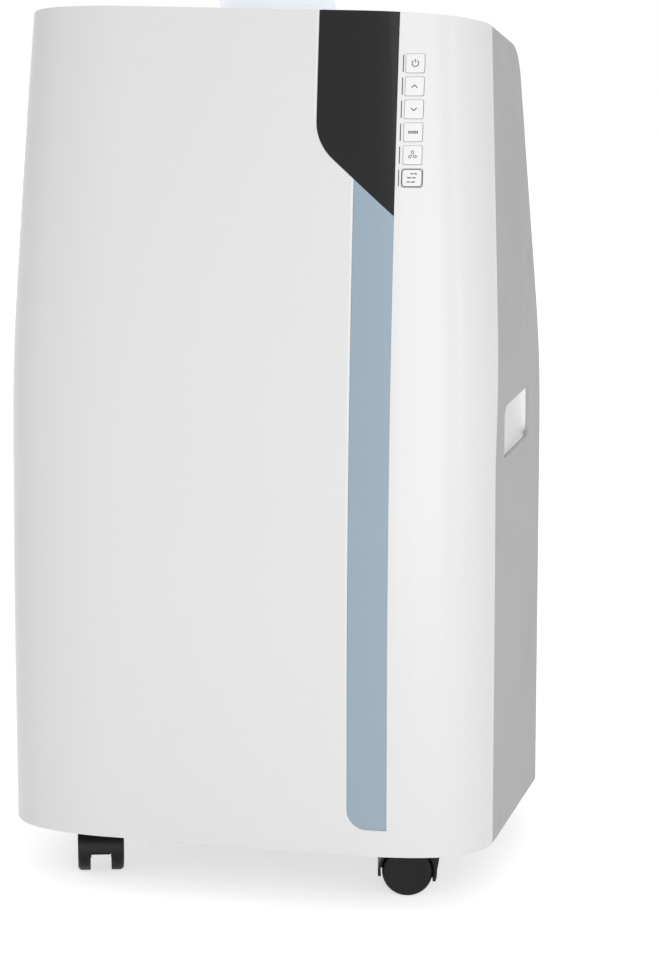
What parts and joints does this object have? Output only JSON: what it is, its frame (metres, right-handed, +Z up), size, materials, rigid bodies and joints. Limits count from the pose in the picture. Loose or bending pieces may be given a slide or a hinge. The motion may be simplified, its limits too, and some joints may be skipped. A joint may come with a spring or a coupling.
{
  "type": "portable air conditioner",
  "caption": "Floor-standing air conditioner on casters: sloping top with an outlet flap, key column, side grips, rear hose socket and grilles.",
  "frame": {"origin": "on the floor under the middle of the overall box", "axes": "+X to the right of someone facing the front, +Y to the rear, +Z up"},
  "size_m": [0.4446, 0.3913, 0.8052],
  "materials": {
    "shell_white": "satin gloss white moulding",
    "side_grey": "fine satin light grey",
    "grip_white": "satin white",
    "display_black": "polished near-black",
    "strip_blue": "pale blue-grey lacquer",
    "key_silver": "light grey with printed signs",
    "flap_ice": "pale ice-blue, faintly translucent",
    "duct_grey": "plain grey moulding",
    "rear_grey": "fine textured grey",
    "grille_grey": "fine textured mid grey",
    "filter_mesh": "dark woven screen",
    "base_grey": "plain dark grey moulding",
    "caster_black": "satin black nylon",
    "wheel_black": "satin black nylon",
    "socket_steel": "zinc plated",
    "screw_steel": "zinc plated",
    "seal_rubber": "matt black",
    "coil_fins": "fine fins",
    "fan_plastic": "plain",
    "motor_steel": "grey enamel",
    "compressor_black": "black enamel",
    "pipe_copper": "drawn copper",
    "box_steel": "zinc coated sheet",
    "can_white": "plain",
    "board_green": "solder mask",
    "lamp_white": "plain"
  },
  "bodies": {
    "cabinet": {"front_panel": "shell_white", "control_column": "shell_white", "display_panel": "display_black", "accent_strip": "strip_blue", "side_panel_right": "side_grey", "side_panel_left": "side_grey", "handle_cup_right": "grip_white", "handle_cup_left": "grip_white", "top_cover": "shell_white", "outlet_well": "duct_grey", "flap_motor": "motor_steel", "rear_shell": "rear_grey", "lower_grille": "grille_grey", "hose_collar": "base_grey", "cabinet_screws": "screw_steel", "drain_spouts": "base_grey", "cord_gland": "seal_rubber", "base_pan": "base_grey", "mid_deck": "base_grey", "caster_sockets": "socket_steel", "evaporator_coil": "coil_fins", "condenser_coil": "coil_fins", "cool_air_scroll": "duct_grey", "exhaust_scroll": "duct_grey", "cool_fan_motor": "motor_steel", "exhaust_fan_motor": "motor_steel", "compressor": "compressor_black", "compressor_grommets": "seal_rubber", "refrigerant_pipes": "pipe_copper", "filter_drier": "pipe_copper", "electrical_box": "box_steel", "run_capacitor": "can_white", "control_board": "board_green", "uv_lamp": "lamp_white"},
    "flap": {"air_flap": "flap_ice"},
    "link": {"vane_link": "duct_grey"},
    "intake_door": {"intake_grille": "grille_grey", "air_filter": "filter_mesh"},
    "stopper_upper": {"drain_plug_upper": "seal_rubber"},
    "stopper_lower": {"drain_plug_lower": "seal_rubber"},
    "cool_fan": {"cool_fan_wheel": "fan_plastic"},
    "exhaust_fan": {"exhaust_fan_wheel": "fan_plastic"},
    "louvre_1": {"vane_1": "duct_grey"},
    "louvre_2": {"vane_2": "duct_grey"},
    "louvre_3": {"vane_3": "duct_grey"},
    "louvre_4": {"vane_4": "duct_grey"},
    "button_power": {"key_power": "key_silver"},
    "button_up": {"key_up": "key_silver"},
    "button_down": {"key_down": "key_silver"},
    "button_mode": {"key_mode": "key_silver"},
    "button_fan": {"key_fan": "key_silver"},
    "button_timer": {"key_timer": "key_silver"},
    "fork_fl": {"caster_fork_fl": "caster_black"},
    "wheels_fl": {"caster_wheels_fl": "wheel_black"},
    "fork_fr": {"caster_fork_fr": "caster_black"},
    "wheels_fr": {"caster_wheels_fr": "wheel_black"},
    "fork_rl": {"caster_fork_rl": "caster_black"},
    "wheels_rl": {"caster_wheels_rl": "wheel_black"},
    "fork_rr": {"caster_fork_rr": "caster_black"},
    "wheels_rr": {"caster_wheels_rr": "wheel_black"}
  },
  "joints": [
    {"name": "flap_hinge", "type": "hinge", "parent": "cabinet", "child": "flap", "pos_m": [0, -0.005, 0.75404], "axis": [-1, 0, 0], "range_deg": [-37, 35]},
    {"name": "louvre_1_pivot", "type": "hinge", "parent": "cabinet", "child": "louvre_1", "pos_m": [-0.039, -0.03058, 0.72169], "axis": [0, 1, 0], "range_deg": [-30, 30]},
    {"name": "louvre_2_pivot", "type": "hinge", "parent": "cabinet", "child": "louvre_2", "pos_m": [-0.013, -0.03058, 0.72169], "axis": [0, 1, 0], "range_deg": [-30, 30]},
    {"name": "louvre_3_pivot", "type": "hinge", "parent": "cabinet", "child": "louvre_3", "pos_m": [0.013, -0.03058, 0.72169], "axis": [0, 1, 0], "range_deg": [-30, 30]},
    {"name": "louvre_4_pivot", "type": "hinge", "parent": "cabinet", "child": "louvre_4", "pos_m": [0.039, -0.03058, 0.72169], "axis": [0, 1, 0], "range_deg": [-30, 30]},
    {"name": "link_slide", "type": "slide", "parent": "cabinet", "child": "link", "axis": [1, 0, 0], "range_m": [-0.00733, 0.00733]},
    {"name": "button_power_press", "type": "slide", "parent": "cabinet", "child": "button_power", "axis": [0, 1, 0], "range_m": [0, 0.0008], "stiffness_N_per_m": 600},
    {"name": "button_up_press", "type": "slide", "parent": "cabinet", "child": "button_up", "axis": [0, 1, 0], "range_m": [0, 0.0008], "stiffness_N_per_m": 600},
    {"name": "button_down_press", "type": "slide", "parent": "cabinet", "child": "button_down", "axis": [0, 1, 0], "range_m": [0, 0.0008], "stiffness_N_per_m": 600},
    {"name": "button_mode_press", "type": "slide", "parent": "cabinet", "child": "button_mode", "axis": [0, 1, 0], "range_m": [0, 0.0008], "stiffness_N_per_m": 600},
    {"name": "button_fan_press", "type": "slide", "parent": "cabinet", "child": "button_fan", "axis": [0, 1, 0], "range_m": [0, 0.0008], "stiffness_N_per_m": 600},
    {"name": "button_timer_press", "type": "slide", "parent": "cabinet", "child": "button_timer", "axis": [0, 1, 0], "range_m": [0, 0.0008], "stiffness_N_per_m": 600},
    {"name": "intake_door_hinge", "type": "hinge", "parent": "cabinet", "child": "intake_door", "pos_m": [0, 0.181, 0.438], "axis": [-1, 0, 0], "range_deg": [0, 70]},
    {"name": "stopper_upper_pull", "type": "slide", "parent": "cabinet", "child": "stopper_upper", "axis": [0, 1, 0], "range_m": [0, 0.016]},
    {"name": "stopper_lower_pull", "type": "slide", "parent": "cabinet", "child": "stopper_lower", "axis": [0, 1, 0], "range_m": [0, 0.016]},
    {"name": "cool_fan_spin", "type": "hinge", "parent": "cabinet", "child": "cool_fan", "pos_m": [0, 0.01885, 0.60509], "axis": [1, 0, 0], "continuous": true},
    {"name": "exhaust_fan_spin", "type": "hinge", "parent": "cabinet", "child": "exhaust_fan", "pos_m": [0, 0.005, 0.2634], "axis": [1, 0, 0], "continuous": true},
    {"name": "caster_fl_swivel", "type": "hinge", "parent": "cabinet", "child": "fork_fl", "pos_m": [-0.152, -0.1108, 0.0546], "axis": [0, 0, 1], "continuous": true},
    {"name": "caster_fl_roll", "type": "hinge", "parent": "fork_fl", "child": "wheels_fl", "pos_m": [-0.14829, -0.12221, 0.023], "axis": [0.9511, 0.309, 0], "continuous": true},
    {"name": "caster_fr_swivel", "type": "hinge", "parent": "cabinet", "child": "fork_fr", "pos_m": [0.152, -0.1108, 0.0546], "axis": [0, 0, 1], "continuous": true},
    {"name": "caster_fr_roll", "type": "hinge", "parent": "fork_fr", "child": "wheels_fr", "pos_m": [0.14031, -0.1135, 0.023], "axis": [0.225, -0.9744, 0], "continuous": true},
    {"name": "caster_rl_swivel", "type": "hinge", "parent": "cabinet", "child": "fork_rl", "pos_m": [-0.152, 0.1212, 0.0546], "axis": [0, 0, 1], "continuous": true},
    {"name": "caster_rl_roll", "type": "hinge", "parent": "fork_rl", "child": "wheels_rl", "pos_m": [-0.14637, 0.13179, 0.023], "axis": [-0.8829, 0.4695, 0], "continuous": true},
    {"name": "caster_rr_swivel", "type": "hinge", "parent": "cabinet", "child": "fork_rr", "pos_m": [0.152, 0.1212, 0.0546], "axis": [0, 0, 1], "continuous": true},
    {"name": "caster_rr_roll", "type": "hinge", "parent": "fork_rr", "child": "wheels_rr", "pos_m": [0.1479, 0.13248, 0.023], "axis": [-0.9397, -0.342, 0], "continuous": true}
  ],
  "couplings": [
    {"joint": "louvre_1_pivot", "follows": "link_slide", "rad_per_m": -71.429},
    {"joint": "louvre_2_pivot", "follows": "link_slide", "rad_per_m": -71.429},
    {"joint": "louvre_3_pivot", "follows": "link_slide", "rad_per_m": -71.429},
    {"joint": "louvre_4_pivot", "follows": "link_slide", "rad_per_m": -71.429}
  ]
}
